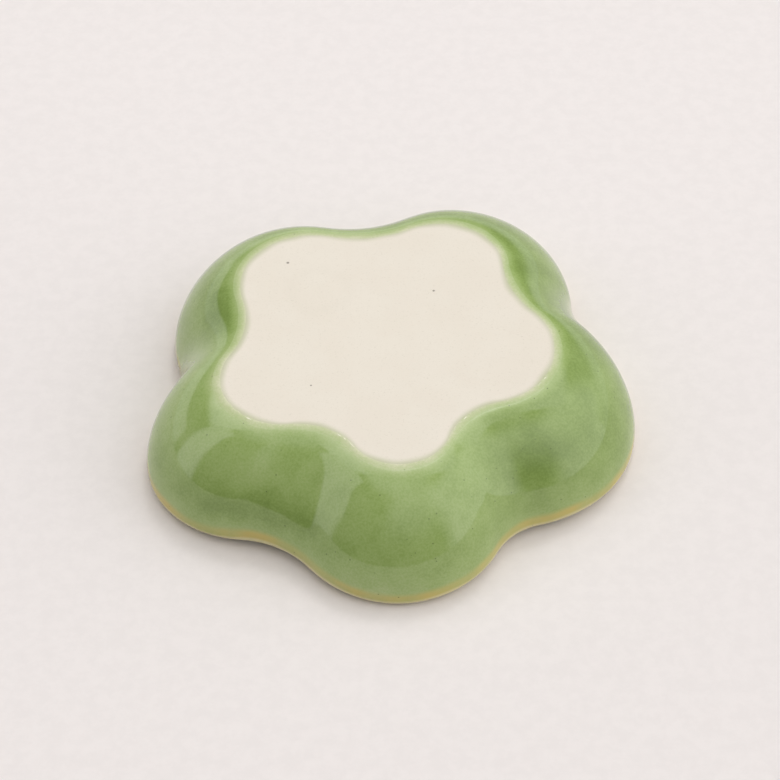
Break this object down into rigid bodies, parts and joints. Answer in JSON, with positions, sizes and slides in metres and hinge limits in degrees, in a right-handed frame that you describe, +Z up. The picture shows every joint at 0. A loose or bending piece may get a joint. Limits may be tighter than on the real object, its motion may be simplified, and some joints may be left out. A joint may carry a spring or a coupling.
{
  "type": "mixing palette",
  "caption": "Small plum-blossom mixing palette of glazed stoneware, with a bowl in each petal and one in the middle, lying upside down on its rim.",
  "frame": {"origin": "middle of the dish's outline, at the height of the rim's lowest stretch, which is the table the dish lies on upside down", "axes": "+Z up out of the bare foot, as the dish lies upside down on its rim; turned half a turn about X it stands on its foot with the bowls up; +X and +Y are level, with the narrow valleys of the front petal on both sides of -Y"},
  "size_m": [0.0882, 0.09, 0.02],
  "materials": {
    "bare_clay": "matt unglazed cream stoneware",
    "outer_glaze": "glossy green glaze, thin and amber at the rim",
    "well_glaze": "glossy green glaze, darker where it pools"
  },
  "bodies": {
    "root": {"clay_body": "bare_clay", "outer_glaze": "outer_glaze", "well_glaze": "well_glaze"}
  },
  "joints": []
}
